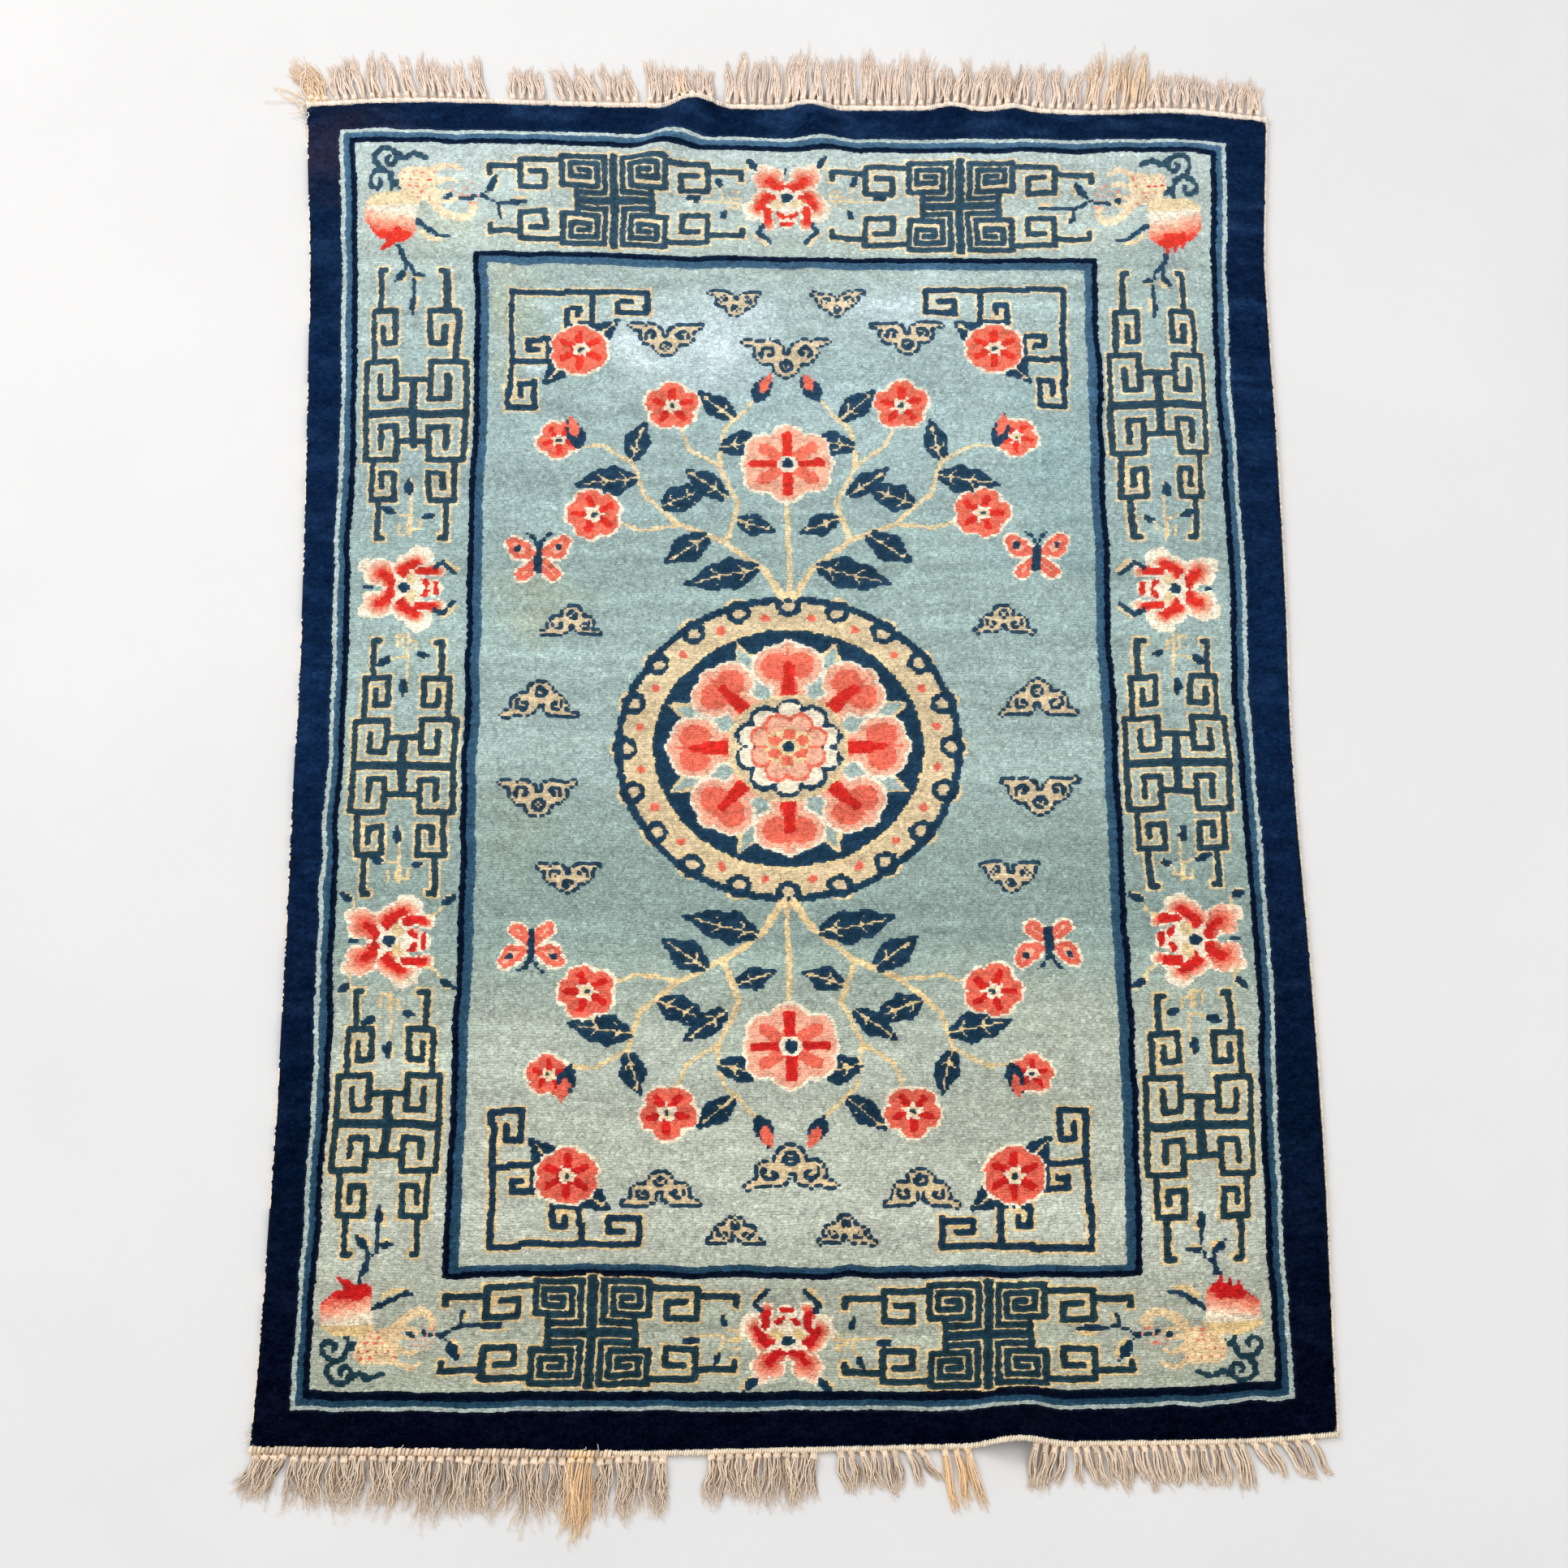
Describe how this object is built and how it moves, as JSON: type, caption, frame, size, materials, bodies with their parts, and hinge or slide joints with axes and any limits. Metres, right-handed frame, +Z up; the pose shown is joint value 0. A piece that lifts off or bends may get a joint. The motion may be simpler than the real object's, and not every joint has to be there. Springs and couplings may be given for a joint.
{
  "type": "chinese rug",
  "caption": "Hand-knotted wool rug lying flat with a few ripples, with fret and peony borders, bound ends and a knotted cotton fringe.",
  "frame": {"origin": "on the underside at the middle of the rug, in the plane of the floor", "axes": "+X across the rug to its right side, +Y along the rug to its far end, +Z up out of the pile"},
  "size_m": [1.245, 2.0072, 0.0329],
  "materials": {
    "wool_pile": "knotted wool pile, pale aqua and navy with coral, cream and tan",
    "selvage": "overcast cotton cord",
    "fringe": "knotted undyed cotton warp ends"
  },
  "bodies": {
    "root": {"rug_body": "wool_pile", "selvage_left": "selvage", "selvage_right": "selvage", "fringe_near": "fringe", "fringe_far": "fringe"}
  },
  "joints": []
}
